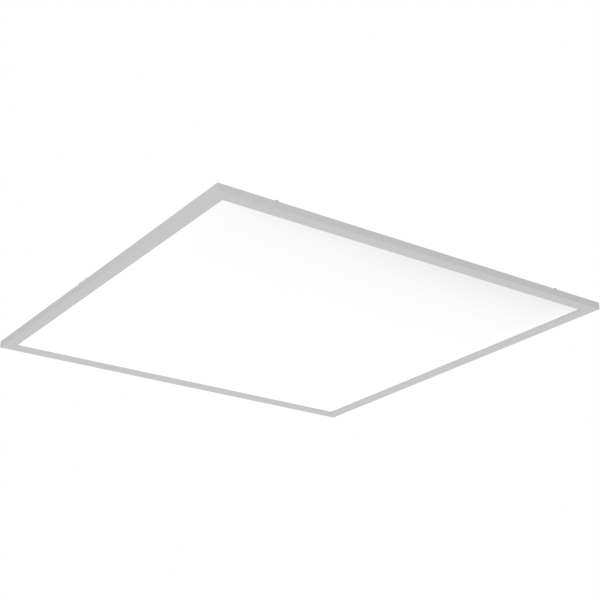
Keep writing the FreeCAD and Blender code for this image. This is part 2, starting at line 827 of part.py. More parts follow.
def driver_base():
    """Base plate of the driver, with an open-slotted foot at each end and four board supports."""
    top = floor_top + driver_sheet
    a = driver_length / 2 + 10
    feet = block((driver_centre_x - a, -7, floor_top), (driver_centre_x + a, 7, top))
    base = driver_block(0, floor_top, top).fuse(feet).removeSplitter()
    for x, y in driver_screw_points():
        low, high = sorted((x - math.copysign(small_screw_shank + 0.2, x), x + math.copysign(8, x)))
        base = base.cut(block((low, -small_screw_shank - 0.2, 0), (high, small_screw_shank + 0.2, top)))
    for sx in (-1, 1):
        for sy in (-1, 1):
            x = driver_centre_x + sx * (driver_length / 2 - 12)
            y = sy * (driver_width / 2 - 6)
            base = base.fuse(block((x - 2, y - 2, top - 0.1), (x + 2, y + 2, circuit_board_z)))
    return base.removeSplitter()


def driver_case():
    """Steel can over the circuit board, with openings for the leads."""
    bottom = floor_top + driver_sheet
    top = floor_top + driver_height
    outer = driver_block(0.2, bottom, top)
    outer = outer.makeChamfer(1.2, [e for e in outer.Edges if e.BoundBox.ZMax > bottom + 0.1])
    case = outer.cut(driver_block(0.2 + driver_sheet, bottom - 1, top - driver_sheet))
    z = floor_top + led_lead_entry + led_lead_thickness / 2
    wide = led_lead_width / 2 + 0.8
    case = case.cut(block((lead_x - wide, -driver_width, z - 1.4), (lead_x + wide, driver_width, z + 1.4)))
    end = driver_centre_x + driver_length / 2
    z = floor_top + mains_entry
    wide = mains_wire_pitch / 2 + mains_wire_radius + 0.6
    high = mains_wire_radius + 0.6
    opening = block((end - 3, mains_entry_y() - wide, z - high), (end + 3, mains_entry_y() + wide, z + high))
    return case.cut(opening)


def mains_entry_y():
    return -terminal_pitch / 2


def driver_circuit_board():
    return driver_block(3.5, circuit_board_z, circuit_board_top)


def driver_transformer():
    """Ferrite core round a wound bobbin."""
    z = circuit_board_top
    x = driver_centre_x + 4
    core = block((x - 11, -9, z), (x + 11, 9, z + 15)).cut(block((x - 7, -10, z + 4), (x + 7, 10, z + 11)))
    corners = [(-6.8, -8, 0), (-4, -11, 0), (4, -11, 0), (6.8, -8, 0)]
    corners += [(-a, -b, 0) for a, b, r in corners]
    winding = prism(corners, lambda a, b: at(x + a, b, z + 4.2), up * 6.6)
    return Part.Compound([core, winding])


def driver_capacitors():
    """Electrolytic capacitors standing on the circuit board."""
    places = [(-38, -10, 5.0, 17.0), (-26, 9, 4.0, 15.0), (30, 8, 5.0, 17.0)]
    z = circuit_board_top
    cans = []
    for x, y, radius, height in places:
        top = z + height
        profile = [(0, z), (radius, z), (radius, top - 0.6), (radius - 0.6, top), (0, top)]
        cans.append(turned(profile, (driver_centre_x + x, y)))
    return Part.Compound(cans)


def small_screws(points, seat):
    """Screws that end at the underside of the housing floor."""
    return Part.Compound([screw(p, seat, 2.6, 0, 1.6, small_screw_shank, seat - cover_top) for p in points])


# ---- mains side ----------------------------------------------------------------------------------
def terminal_screw_point():
    return (terminal_centre_x, terminal_size[1] / 2 + 3.5)


def ground_point():
    return (terminal_centre_x - 14, 34.0)


def terminal_rows():
    return [-terminal_pitch, 0.0, terminal_pitch]


def terminal_z():
    return floor_top + 6.5


def terminal_block():
    """Three-pole push-in terminal block with an ear for its screw."""
    sx, sy, sz = terminal_size
    body = block((-sx / 2, -sy / 2, 0), (sx / 2, sy / 2, sz))
    shoulders = [e for e in body.Edges if e.BoundBox.ZMin > sz - 0.1 and e.BoundBox.YLength > sy / 2]
    body = body.makeChamfer(2.5, shoulders)
    body = body.fuse(block((-4, 0, 0), (4, sy / 2 + 7, terminal_ear)))
    body = body.cut(screw_hole(small_screw_shank, (0, sy / 2 + 3.5), -1, terminal_ear + 1))
    middle = terminal_z() - floor_top
    mouth = mains_wire_radius + 0.25
    depth = sx / 2 - 5
    for row in terminal_rows():
        for low, high in ((-sx, -depth), (depth, sx)):
            body = body.cut(block((low, row - mouth, middle - mouth), (high, row + mouth, middle + mouth)))
        body = body.cut(block((-1.5, row - 1.5, sz - 3), (1.5, row + 1.5, sz + 1)))
    body.translate(at(terminal_centre_x, 0, floor_top))
    return body


def barrel_z():
    return floor_top + mains_wire_radius + 0.7


def ground_ring():
    """Ring terminal under the ground screw, with the barrel that holds the wire."""
    x, y = ground_point()
    top = floor_top + ring_thickness
    ring = turned([(0, floor_top), (4.0, floor_top), (4.0, top), (0, top)], (x, y))
    tail = block((x - 1.5, y - 12, floor_top), (x + 1.5, y - 3, top))
    crimp = mains_wire_radius + 0.6
    barrel = block((x - crimp, y - 12, floor_top), (x + crimp, y - 6, barrel_z() + crimp))
    ring = ring.fuse(tail).fuse(barrel).removeSplitter()
    ring = ring.cut(screw_hole(small_screw_shank, (x, y), 0, top + 1))
    mouth = at(x, y - 13, barrel_z())
    return ring.cut(rod(mains_wire_radius + fixed_clearance, mouth, mouth + at(0, 5, 0)))


def terminal_mouth(row):
    return at(terminal_centre_x - 5.2, row, terminal_z())


def mains_lead(row, side):
    """Lead from a terminal to the circuit board, through the opening in the driver's end."""
    start = terminal_mouth(row)
    y = mains_entry_y() + side * mains_wire_pitch / 2
    wall = driver_centre_x + driver_length / 2
    z = floor_top + mains_entry
    inside = wall - 7
    points = [start, at(start.x - 8, row, start.z), at(wall + 5, y, z), at(inside, y, z)]
    return wire_along(points + [at(inside, y, circuit_board_top)], mains_wire_bend, mains_wire_radius)


def ground_lead():
    start = terminal_mouth(terminal_pitch)
    x, y = ground_point()
    points = [start, at(x, start.y, start.z), at(x, start.y + 8, barrel_z()), at(x, y - 8, barrel_z())]
    return wire_along(points, mains_wire_bend, mains_wire_radius)


def led_lead():
    """Flat lead from the front strip board, along the foam channel, up the grommet and into the driver."""
    middle = -grommet_y + led_lead_thickness / 2
    high = floor_top + led_lead_entry
    drop = -driver_width / 2 + 6
    path = [
        (-half + board_face, lead_bottom), (middle, lead_bottom), (middle, high), (drop, high),
        (drop, circuit_board_top),
    ]
    place = in_yz(lead_x - led_lead_width / 2)
    return folded_strip(path, led_lead_thickness, led_lead_bend, place, at(led_lead_width, 0, 0))


# ---- the nodes -----------------------------------------------------------------------------------
rail_names = ["front", "right", "rear", "left"]
key_names = ["front_left", "front_right", "rear_right", "rear_left"]

nodes = {}
rail = frame_rail()
key = corner_key()
for turn in range(4):
    nodes["frame_rail_" + rail_names[turn]] = quarter_turns(rail, turn)
    nodes["corner_key_" + key_names[turn]] = quarter_turns(key, turn)
nodes["corner_key_screws"] = corner_key_screws()
nodes["diffuser"] = sheet(diffuser_recess, diffuser_thickness)
nodes["light_guide"] = sheet(diffuser_top, guide_thickness)
nodes["reflector_sheet"] = sheet(guide_top, reflector_thickness)
nodes["foam_pad"] = foam_pad()
for name, turn in (("front", 0), ("rear", 2)):
    nodes["led_board_" + name] = quarter_turns(led_board(), turn)
    nodes["thermal_tape_" + name] = quarter_turns(led_tape(), turn)
    nodes["led_packages_" + name] = quarter_turns(led_packages(), turn)
nodes["back_cover"] = back_cover()
nodes["back_cover_screws"] = cover_screws()
bracket = clip_bracket()
clip = grid_clip()
for corner in key_names:
    nodes["clip_bracket_" + corner] = at_clip_corner(bracket, corner)
    nodes["grid_clip_" + corner] = at_clip_corner(clip, corner)
nodes["clip_pins"] = clip_pins()
nodes["clip_screws"] = clip_screws()
tie_bracket = tie_wire_bracket()
nodes["tie_wire_bracket_left"] = tie_bracket
nodes["tie_wire_bracket_right"] = quarter_turns(tie_bracket, 2)
nodes["tie_bracket_screws"] = tie_bracket_screws()
nodes["driver_housing"] = driver_housing()
nodes["housing_rivets"] = housing_rivets()
nodes["driver_lid"] = driver_lid()
nodes["lid_screw"] = lid_screw()
nodes["lid_hinge_pin_left"] = hinge_pin(-hinge_station)
nodes["lid_hinge_pin_right"] = hinge_pin(hinge_station)
nodes["lead_grommets"] = lead_grommets()
nodes["driver_base"] = driver_base()
nodes["driver_case"] = driver_case()
nodes["driver_circuit_board"] = driver_circuit_board()
nodes["driver_transformer"] = driver_transformer()
nodes["driver_capacitors"] = driver_capacitors()
nodes["driver_screws"] = small_screws(driver_screw_points(), floor_top + driver_sheet)
nodes["terminal_block"] = terminal_block()
nodes["terminal_screw"] = small_screws([terminal_screw_point()], floor_top + terminal_ear)
nodes["ground_screw"] = small_screws([ground_point()], floor_top + ring_thickness)
nodes["ground_ring"] = ground_ring()
nodes["ground_lead"] = ground_lead()
nodes["line_lead"] = mains_lead(-terminal_pitch, -1)
nodes["neutral_lead"] = mains_lead(0.0, 1)
nodes["led_lead_front"] = led_lead()
nodes["led_lead_rear"] = led_lead().mirror(at(0, 0, 0), at(0, 1, 0))

os.makedirs("parts", exist_ok=True)
for name, shape in nodes.items():
    shape.exportStep("parts/" + name + ".step")
    print(name, "solids", len(shape.Solids), "volume", round(shape.Volume, 1), "valid", shape.isValid())
print("nodes", len(nodes))
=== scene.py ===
# %% [markdown]
# # A recessed troffer light
#
# The object is a flat panel, 603 mm square and 9.5 mm thick at its rim, that lies in a ceiling grid and
# glows downward. Its metal parts come from CAD with their true sizes. Blender gives each of them a
# finish, and makes the small turned and bent parts that CAD leaves plain: screw heads with a cross
# recess, rivets, grommets, hinge pins and insulated wires.

# %% Load the frame
import json
import math

import bmesh
import bpy
from mathutils import Matrix, Vector


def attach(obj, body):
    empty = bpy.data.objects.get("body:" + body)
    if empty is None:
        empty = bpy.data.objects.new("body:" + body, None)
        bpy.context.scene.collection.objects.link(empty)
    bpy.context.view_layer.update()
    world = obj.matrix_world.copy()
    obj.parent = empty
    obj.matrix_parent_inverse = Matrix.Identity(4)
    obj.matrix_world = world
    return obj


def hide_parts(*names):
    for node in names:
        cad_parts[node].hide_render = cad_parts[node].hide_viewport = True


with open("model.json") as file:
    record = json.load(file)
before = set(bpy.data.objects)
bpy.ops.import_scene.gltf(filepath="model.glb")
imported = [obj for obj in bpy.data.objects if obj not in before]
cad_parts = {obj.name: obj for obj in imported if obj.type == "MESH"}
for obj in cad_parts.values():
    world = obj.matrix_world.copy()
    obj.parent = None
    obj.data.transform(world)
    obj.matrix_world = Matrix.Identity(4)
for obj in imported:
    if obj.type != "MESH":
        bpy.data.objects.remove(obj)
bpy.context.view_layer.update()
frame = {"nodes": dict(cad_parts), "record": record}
nodes = frame["nodes"]
record = frame["record"]
MM = 0.001

# %% [markdown]
# ## Camera
#
# The photo looks up at the panel from one corner with a longish lens, so the square turns into a flat
# diamond. A camera could be turned by hand until the outlines agree. Here its place, directions and
# lens are given as numbers worked out from the four corners of the square, because a 1 degree error
# already shows. A camera in Blender looks along its -Z with +Y up, so its axes go in as the columns
# right, up and back.

# %% Camera
CAMERA_PLACE = Vector((-923.7, -1344.6, -630.8)) * MM
LOOK = Vector((0.530895, 0.756286, 0.382338))
RIGHT = Vector((0.818597, -0.574368, -0.000530))
FOCAL_MM = 74.90
SENSOR_MM = 36.0
NEAREST = 0.01              # metres

camera_data = bpy.data.cameras.new("camera")
camera_data.sensor_fit = "HORIZONTAL"
camera_data.sensor_width = SENSOR_MM
camera_data.lens = FOCAL_MM
camera_data.clip_start = NEAREST
camera = bpy.data.objects.new("camera", camera_data)
bpy.context.scene.collection.objects.link(camera)
back = -LOOK.normalized()
upward = back.cross(RIGHT).normalized()
across = upward.cross(back)
turn = Matrix((across, upward, back)).transposed().to_4x4()
camera.matrix_world = Matrix.Translation(CAMERA_PLACE) @ turn
bpy.context.scene.camera = camera
print("camera distance to the middle of the panel:", round(CAMERA_PLACE.length, 3), "m")

# %% [markdown]
# ## Colours
#
# A finish is written as the hex value that a painter reads off a swatch. That is sRGB, which is made for
# screens, and a shader reckons in linear light. The colours could be typed in as linear numbers, but
# nobody can picture those, so one function turns the hex value into them.

# %% Colours
def linear(hex_colour):
    """sRGB hex, such as "#c8c8c8", as linear red, green, blue and alpha."""
    parts = [int(hex_colour[i:i + 2], 16) / 255 for i in (1, 3, 5)]
    return [c / 12.92 if c <= 0.04045 else ((c + 0.055) / 1.055) ** 2.4 for c in parts] + [1.0]


print("mid grey #808080 in linear light:", round(linear("#808080")[0], 3))

# %% [markdown]
# ## Shader nodes
#
# A material is a tree of nodes. It could be drawn by hand in the node editor, but a script can be read
# and run again. One function adds any node, sets it up and links it, so that a material reads as a short
# list from the pattern to the shader. Patterns lie in the object's own coordinates, which are metres,
# so each one's scale is worked out from its real size in millimetres.

# %% Shader nodes
def add(tree, kind, inputs=None, **settings):
    """Adds one node. An input is a value, an output socket, or a node, which means its first output."""
    node = tree.nodes.new(kind)
    for key, value in settings.items():
        setattr(node, key, value)
    for key, value in (inputs or {}).items():
        if isinstance(value, bpy.types.Node):
            value = value.outputs[0]
        if isinstance(value, bpy.types.NodeSocket):
            tree.links.new(value, node.inputs[key])
        else:
            node.inputs[key].default_value = value
    return node


def new_material(name):
    """An empty material: (material, its node tree, object coordinates in metres)."""
    material = bpy.data.materials.new(name)
    material.use_nodes = True
    tree = material.node_tree
    tree.nodes.clear()
    place = add(tree, "ShaderNodeTexCoord").outputs["Object"]
    return material, tree, place


def per_metre(size_mm):
    """Scale at which a pattern repeats after this length."""
    return 1 / (size_mm * MM)


print("a 4 mm crystal has a scale of", per_metre(4.0))

# %% [markdown]
# ## Room
#
# The photo is a cut-out on white with very even light. A photo studio could be built for it, with soft
# boxes and a backdrop, but a plain bright world does the same with less: it lights the object from all
# round, at a level where a colour renders as it is written, and it is pure white to the camera and in
# reflections.

# %% Room
WORLD_LIGHT = 0.755         # on the object; 1.0 is pure white

world = bpy.data.worlds.new("even white room")
bpy.context.scene.world = world
world.use_nodes = True
tree = world.node_tree
tree.nodes.clear()
ray = add(tree, "ShaderNodeLightPath").outputs
seen_or_mirrored = {0: ray["Is Camera Ray"], 1: ray["Is Glossy Ray"]}
seen = add(tree, "ShaderNodeMath", seen_or_mirrored, operation="MAXIMUM")
seen = add(tree, "ShaderNodeMath", {0: seen, 1: ray["Is Transmission Ray"]}, operation="MAXIMUM")
level = add(tree, "ShaderNodeMapRange", {"Value": seen, "To Min": WORLD_LIGHT, "To Max": 1.0})
sky = add(tree, "ShaderNodeBackground", {"Color": linear("#ffffff"), "Strength": level})
add(tree, "ShaderNodeOutputWorld", {"Surface": sky})
print("world light on the object:", WORLD_LIGHT)

# %% [markdown]
# ## Floor
#
# The panel hangs, so its floor is a room's height below, and takes hardly any shadow. It is a pale
# screed, trowelled and matt, which gives the eye a soft white with a faint cloudiness. To the camera
# alone it glows a little, so that it stays as white as the photo's ground without more light on the
# object.

# %% Floor
FLOOR_Z = -2.4              # metres
FLOOR_SIDE = 80.0
FLOOR_GRAIN_MM = 40
FLOOR_ROUGHNESS = 0.9
FLOOR_LIFT = 0.27           # how much the floor glows to the camera

floor_mesh = bpy.data.meshes.new("floor")
half = FLOOR_SIDE / 2
floor_corners = [(x, y, FLOOR_Z) for x, y in ((-half, -half), (half, -half), (half, half), (-half, half))]
floor_mesh.from_pydata(floor_corners, [], [(0, 1, 2, 3)])
floor = bpy.data.objects.new("floor", floor_mesh)
bpy.context.scene.collection.objects.link(floor)

screed, tree, place = new_material("pale screed, trowelled")
cloud = add(tree, "ShaderNodeTexNoise", {"Vector": place, "Scale": per_metre(FLOOR_GRAIN_MM), "Detail": 4.0})
pales = {"Factor": cloud, 6: linear("#f0f0f0"), 7: linear("#f6f6f6")}
pale = add(tree, "ShaderNodeMix", pales, data_type="RGBA").outputs[2]
to_camera = add(tree, "ShaderNodeLightPath").outputs["Is Camera Ray"]
lift = add(tree, "ShaderNodeMath", {0: to_camera, 1: FLOOR_LIFT}, operation="MULTIPLY")
looks = {"Base Color": pale, "Roughness": FLOOR_ROUGHNESS}
looks.update({"Emission Color": linear("#ffffff"), "Emission Strength": lift})
shader = add(tree, "ShaderNodeBsdfPrincipled", looks)
add(tree, "ShaderNodeOutputMaterial", {"Surface": shader})
floor_mesh.materials.append(screed)
print("floor at", FLOOR_Z, "m,", FLOOR_SIDE, "m square")

# %% [markdown]
# ## Lamps
#
# The sides of the rim have slightly different greys in the photo, so the light isn't the same from
# everywhere. Small lamps would draw hard shadows, so these are wide area lamps: one from the floor
# below, one near the corner that faces the camera, one in front and one above the back of the panel.

# %% Lamps
LAMPS = {
    # name: place in metres, side of the square in metres, watts
    "lamp below": ((0.2, 0.2, -2.2), 2.5, 15.8),
    "lamp at the near corner": ((-1.15, -0.85, 0.0), 0.6, 2.5),
    "lamp in front": ((-0.2, -2.0, -0.3), 0.8, 1.0),
    "lamp above": ((0.3, 0.4, 3.0), 2.5, 10.0),
}


def soft_lamp(name, place, side, watts):
    """Square area lamp that points at the panel."""
    data = bpy.data.lights.new(name, "AREA")
    data.size = side
    data.energy = watts
    lamp = bpy.data.objects.new(name, data)
    lamp.location = place
    lamp.rotation_euler = (-Vector(place)).to_track_quat("-Z", "Y").to_euler()
    lamp.visible_camera = False
    bpy.context.scene.collection.objects.link(lamp)


for name, (place, side, watts) in LAMPS.items():
    soft_lamp(name, place, side, watts)
bpy.context.scene.view_settings.view_transform = "Standard"
print(len(LAMPS), "lamps,", round(sum(lamp[2] for lamp in LAMPS.values()), 1), "W together")

# %% [markdown]
# ## Powder coat
#
# The rails and the driver housing are coated with polyester powder that is sprayed on and baked. It
# flows into a satin skin with a shallow orange peel, one or two millimetres from crest to crest, and
# the eye sees a soft highlight that wavers a little. The peel could be modelled, but it is a few
# thousandths of a millimetre deep, so it is a bump. A larger and fainter noise keeps the colour from
# being dead even.

# %% Powder coat
DRIFT_MM = 60
COAT_ROUGHNESS = 0.5


def powder_coat(name, shade, colour, peel_mm, peel_strength, peel_depth_mm):
    material, tree, place = new_material(name)
    drift = add(tree, "ShaderNodeTexNoise", {"Vector": place, "Scale": per_metre(DRIFT_MM), "Detail": 3.0})
    whites = {"Factor": drift, 6: linear(shade), 7: linear(colour)}
    white = add(tree, "ShaderNodeMix", whites, data_type="RGBA").outputs[2]
    peel = add(tree, "ShaderNodeTexNoise", {"Vector": place, "Scale": per_metre(peel_mm), "Detail": 1.0})
    depth = {"Height": peel, "Strength": peel_strength, "Distance": peel_depth_mm * MM}
    bump = add(tree, "ShaderNodeBump", depth)
    looks = {"Base Color": white, "Roughness": COAT_ROUGHNESS, "Normal": bump}
    shader = add(tree, "ShaderNodeBsdfPrincipled", looks)
    add(tree, "ShaderNodeOutputMaterial", {"Surface": shader})
    return material


# The extruded rails have a thin, smooth coat: an even, quiet white.
rail_coat = powder_coat("white polyester powder coat, thin", "#c9c9c9", "#cbcbcb", 0.9, 0.06, 0.008)
# The folded housing has a thicker one: a little warmer, with more peel in its highlights.
housing_coat = powder_coat("white polyester powder coat, thick", "#d1d1cf", "#d6d6d4", 1.6, 0.4, 0.03)
print("coats:", rail_coat.name, "and", housing_coat.name)

# %% [markdown]
# ## How the diffuser glows
#
# Opal polystyrene is clear plastic with fine white pigment, extruded as a sheet. Behind it a light guide
# carries the light in from its edges and throws it out at rows of printed dots, 10 mm apart. The light
# could be traced through real sheets and dots, but that takes very many samples and leaves noise. So
# the glow is worked out from the distance to the rails. A painted shade darkens the strip along the
# front rail, most of all toward the right. Painted light brightens the last few millimetres along the
# other rails against the shade of the rails' lips, and an edge-lit sheet is also a little brighter
# near its edges. Where the shade is painted, the dot rows show through as faint bands.

# %% How the diffuser glows
LIT_EDGE = 0.285            # metres from the middle to the edges of the opening
GLOW = 0.304                # in the middle of the panel
# Painted shade along the front rail, worked into the glow.
PAINTED_SHADE_DEPTH = 0.150           # how much darker it is at the front edge
DIM_REACH = 0.083           # metres in which the dimming falls to a third
DIM_LEFT_X = -0.30          # here the dimming has only the next share, and it is full at DIM_FULL_X
DIM_LEFT_SHARE = 0.51
DIM_FULL_X = 0.03
DOT_ROW_MM = 10.0
ROW_SHIFT_MM = 4.4          # from the middle of the panel to the nearest dot row
# Painted light along the other rails, against the shade of their lips.
RIM_REACH = 0.012           # metres in which the brighter rim falls to a third


def painted_front_shade(tree, x, y):
    """Painted shade: 1 at the front edge, falling off backward, and less at the left."""
    from_front = {0: y, 1: -1 / DIM_REACH, 2: -LIT_EDGE / DIM_REACH}
    fall = add(tree, "ShaderNodeMath", from_front, operation="MULTIPLY_ADD")
    near = add(tree, "ShaderNodeMath", {0: fall}, operation="EXPONENT")
    ends = {"Value": x, "From Min": DIM_LEFT_X, "From Max": DIM_FULL_X, "To Min": DIM_LEFT_SHARE}
    share = add(tree, "ShaderNodeMapRange", ends)
    return add(tree, "ShaderNodeMath", {0: near, 1: share}, operation="MULTIPLY")


def dot_rows(tree, y):
    """A wave with its crests on the dot rows."""
    step = 2 * math.pi / DOT_ROW_MM
    along = {0: y, 1: step / MM, 2: -step * ROW_SHIFT_MM}
    angle = add(tree, "ShaderNodeMath", along, operation="MULTIPLY_ADD")
    return add(tree, "ShaderNodeMath", {0: angle}, operation="COSINE")


def painted_rim_light(tree, x, y):
    """Painted light: 1 along the left, right and rear edges, falling off quickly."""
    sideways = add(tree, "ShaderNodeMath", {0: x}, operation="ABSOLUTE")
    outward = add(tree, "ShaderNodeMath", {0: sideways, 1: y}, operation="MAXIMUM")
    to_edge = {0: outward, 1: 1 / RIM_REACH, 2: -LIT_EDGE / RIM_REACH}
    rise = add(tree, "ShaderNodeMath", to_edge, operation="MULTIPLY_ADD")
    return add(tree, "ShaderNodeMath", {0: rise}, operation="EXPONENT")


print("dot rows from edge to edge:", round(2 * LIT_EDGE / (DOT_ROW_MM * MM)))

# %% [markdown]
# ## Opal diffuser
#
# The sheet's underside is embossed to a satin, so it shows no edge of what is behind it, only an even
# white. It could be a glass that scatters light, with lamps behind it. Its glow is already worked out,
# so it goes straight into the emission. The dot rows are also in the plastic's own colour, fainter,
# because Blender's denoiser keeps a pattern that it finds in the colour and smears one that is only in
# the light. Real pigment is far finer than the grain here, which is drawn coarse enough to show.

# %% Opal diffuser
# Strength of the painted light at the rim.
PAINTED_RIM_GLOW = 0.07
BAND_SHARE = 0.05           # part of the dimming that the dot rows take
ROW_TINT = 0.15
OPAL_GRAIN_MM = 0.8
GRAIN_TINT = 0.4
GRAIN_START = 0.3
OPAL_ROUGHNESS = 0.55
POLYSTYRENE_IOR = 1.59


def opal_glow(tree, x, y, painted_shade, wave):
    """Glow: the level, with painted light at the rim and painted shade toward the front edge."""
    level = {0: painted_rim_light(tree, x, y), 1: PAINTED_RIM_GLOW, 2: GLOW}
    level = add(tree, "ShaderNodeMath", level, operation="MULTIPLY_ADD")
    depth = {0: wave, 1: PAINTED_SHADE_DEPTH * BAND_SHARE, 2: -PAINTED_SHADE_DEPTH}
    depth = add(tree, "ShaderNodeMath", depth, operation="MULTIPLY_ADD")
    glow = add(tree, "ShaderNodeMath", {0: painted_shade, 1: depth, 2: level}, operation="MULTIPLY_ADD")
    return add(tree, "ShaderNodeCombineColor", {0: glow, 1: glow, 2: glow})


def opal_tint(tree, painted_shade, wave, grain):
    """The plastic's own colour, with its grain and the dot rows, strongest where the shade is painted."""
    rows = add(tree, "ShaderNodeMath", {0: wave, 1: painted_shade}, operation="MULTIPLY")
    start = add(tree, "ShaderNodeMath", {0: grain, 1: GRAIN_TINT, 2: GRAIN_START}, operation="MULTIPLY_ADD")
    both = add(tree, "ShaderNodeMath", {0: rows, 1: ROW_TINT, 2: start}, operation="MULTIPLY_ADD")
    milks = {"Factor": both, 6: linear("#dbdbdb"), 7: linear("#e5e5e5")}
    return add(tree, "ShaderNodeMix", milks, data_type="RGBA").outputs[2]


def opal_diffuser():
    material, tree, place = new_material("opal polystyrene, satin, lit from behind")
    x, y = add(tree, "ShaderNodeSeparateXYZ", {"Vector": place}).outputs[:2]
    # Painted shade along the front rail.
    painted_shade = painted_front_shade(tree, x, y)
    wave = dot_rows(tree, y)
    grain = {"Vector": place, "Scale": per_metre(OPAL_GRAIN_MM), "Detail": 2.0}
    grain = add(tree, "ShaderNodeTexNoise", grain)
    bump = add(tree, "ShaderNodeBump", {"Height": grain, "Strength": 0.05, "Distance": 0.01 * MM})
    looks = {"Base Color": opal_tint(tree, painted_shade, wave, grain), "Roughness": OPAL_ROUGHNESS}
    looks.update({"IOR": POLYSTYRENE_IOR, "Normal": bump})
    looks.update({"Emission Color": opal_glow(tree, x, y, painted_shade, wave), "Emission Strength": 1.0})
    shader = add(tree, "ShaderNodeBsdfPrincipled", looks)
    add(tree, "ShaderNodeOutputMaterial", {"Surface": shader})
    return material


opal = opal_diffuser()
print("diffuser:", opal.name, "with", len(opal.node_tree.nodes), "shader nodes")

# %% [markdown]
# ## Galvanised steel sheet
#
# The back cover and the driver's can are hot-dip galvanised: as the zinc freezes it grows crystals, the
# spangle, and the eye sees a patchwork of greys, each with its own shine. A photo of such sheet would
# repeat and carry its own light, and a Voronoi texture gives cells that never repeat. Two sizes are
# mixed, the small ones like the frost inside a large one, and the mix gives each spot its grey, its
# roughness and a trace of relief.

# %% Galvanised steel sheet
FROST_SHARE = 0.45
FROST_SIZE = 1 / 3          # of the spangle's size
BRIGHT_CRYSTAL = 0.36       # roughness of the darkest and of the palest crystals
DULL_CRYSTAL = 0.54


def galvanised(name, dark, light, spangle_mm):
    material, tree, place = new_material(name)
    frost_mm = spangle_mm * FROST_SIZE
    large = add(tree, "ShaderNodeTexVoronoi", {"Vector": place, "Scale": per_metre(spangle_mm)})
    small = add(tree, "ShaderNodeTexVoronoi", {"Vector": place, "Scale": per_metre(frost_mm)})
    sizes = {"Factor": FROST_SHARE, 6: large.outputs["Color"], 7: small.outputs["Color"]}
    frosted = add(tree, "ShaderNodeMix", sizes, data_type="RGBA").outputs[2]
    crystal = add(tree, "ShaderNodeSeparateColor", {"Color": frosted})
    greys = {"Factor": crystal, 6: linear(dark), 7: linear(light)}
    grey = add(tree, "ShaderNodeMix", greys, data_type="RGBA").outputs[2]
    shine = {"Value": crystal, "To Min": BRIGHT_CRYSTAL, "To Max": DULL_CRYSTAL}
    shine = add(tree, "ShaderNodeMapRange", shine)
    bump = add(tree, "ShaderNodeBump", {"Height": crystal, "Strength": 0.1, "Distance": 0.01 * MM})
    looks = {"Base Color": grey, "Metallic": 1.0, "Roughness": shine, "Normal": bump}
    shader = add(tree, "ShaderNodeBsdfPrincipled", looks)
    add(tree, "ShaderNodeOutputMaterial", {"Surface": shader})
    return material


# Crystals about as large as a lentil, which show as a soft mottle from a step away.
cover_zinc = galvanised("hot-dip galvanised steel sheet, spangled", "#b2b4b5", "#c6c7c8", 4.0)
# A finer and slightly darker spangle.
driver_zinc = galvanised("hot-dip galvanised steel sheet, fine spangle", "#acaeb0", "#bdbfc1", 2.5)
print("galvanised:", cover_zinc.name, "and", driver_zinc.name)

# %% [markdown]
# ## Other metals
#
# Brackets, clips, screws, pins, rivets and corner keys are rolled, drawn, ground or tumbled, and all of
# that leaves fine scratches. The shader's anisotropy could draw out the highlights, but it shows no
# scratch close up. Here noise is drawn out along X and changes the grey and the roughness together.
# Real scratches are a few hundredths of a millimetre wide, so these are drawn coarser, to show.

# %% Other metals
SCRATCH_MM = 0.5
SCRATCH_STRETCH = (12.0, 1.0, 1.0)
SATIN = 0.38                # roughness of the plated steels
ROUGHNESS_SPREAD = 0.08


def scratched(name, dark, light, scratch_mm=SCRATCH_MM, rough=SATIN):
    material, tree, place = new_material(name)
    squeeze = [1 / stretch for stretch in SCRATCH_STRETCH]
    along = add(tree, "ShaderNodeMapping", {"Vector": place, "Scale": squeeze})
    scratch = {"Vector": along, "Scale": per_metre(scratch_mm), "Detail": 3.0}
    scratch = add(tree, "ShaderNodeTexNoise", scratch)
    greys = {"Factor": scratch, 6: linear(dark), 7: linear(light)}
    grey = add(tree, "ShaderNodeMix", greys, data_type="RGBA").outputs[2]
    ends = {"Value": scratch, "To Min": rough - ROUGHNESS_SPREAD, "To Max": rough + ROUGHNESS_SPREAD}
    shine = add(tree, "ShaderNodeMapRange", ends)
    bump = add(tree, "ShaderNodeBump", {"Height": scratch, "Strength": 0.1, "Distance": 0.01 * MM})
    looks = {"Base Color": grey, "Metallic": 1.0, "Roughness": shine, "Normal": bump}
    shader = add(tree, "ShaderNodeBsdfPrincipled", looks)
    add(tree, "ShaderNodeOutputMaterial", {"Surface": shader})
    return material


# Phosphate crystals take up oil: dark grey, without sparkle.
screw_steel = scratched("zinc phosphated steel screws", "#55575a", "#686a6e")
# Ground between wheels: clean grey with a tight highlight.
pin_steel = scratched("ground steel pins", "#9fa1a3", "#b1b3b5", 0.4, 0.3)
# Electroplated and passivated: even, bright and slightly blue.
bracket_steel = scratched("bright zinc plated steel sheet", "#b4b6b8", "#c6c8ca")
# Hardened before it was plated, so it is a shade darker.
clip_steel = scratched("zinc plated spring steel", "#a3a6a9", "#b6b9bc")
# Drawn through a die: pale and soft.
rivet_alloy = scratched("drawn aluminium, rivets", "#bcbdbe", "#cdcecf")
# Sawn off an extruded bar: pale, with coarser marks and a broad highlight.
key_alloy = scratched("mill finish aluminium, sawn", "#bfc0c1", "#d0d1d2", 1.0, 0.45)
# Dipped in tin: a warm, soft white metal.
tinned = scratched("tin plated copper", "#b9b7b2", "#cbc9c5")
print("screws:", screw_steel.name, "| pins:", pin_steel.name, "| clips:", clip_steel.name)

# %% [markdown]
# ## Plastics, rubber and the rest
#
# Moulded and extruded plastics have an even colour and a fine grain from the tool. What tells them apart
# is how much light goes through and how sharp the highlight is. A material for each could be built from
# nothing, but they differ only in numbers, so one function takes the colours, the grain, the roughness
# and, where they differ, the grain's strength and the refractive index. A tool's grain is often a tenth
# of a millimetre, and it is drawn coarser here, to show.

# %% Plastics and other finishes
GRAIN_DEPTH_MM = 0.02


